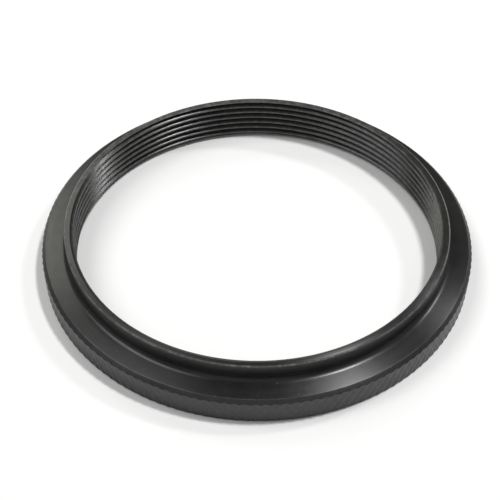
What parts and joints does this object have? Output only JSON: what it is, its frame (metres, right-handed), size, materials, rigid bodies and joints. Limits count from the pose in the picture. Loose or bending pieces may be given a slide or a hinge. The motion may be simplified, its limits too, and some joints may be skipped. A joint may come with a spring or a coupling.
{
  "type": "threaded lock ring",
  "caption": "Knurled lock ring with a raised collar and a coarse internal thread right through, for the back of a telescope tube.",
  "frame": {"origin": "centre of the ring's flat base", "axes": "+Z along the ring's axis, out of the raised collar; X and Y are alike"},
  "size_m": [0.0966, 0.0966, 0.0107],
  "materials": {
    "black_anodised": "satin black anodising over fine turning marks, with pale wear on the sharp edges"
  },
  "bodies": {
    "root": {"lock_ring": "black_anodised"}
  },
  "joints": []
}
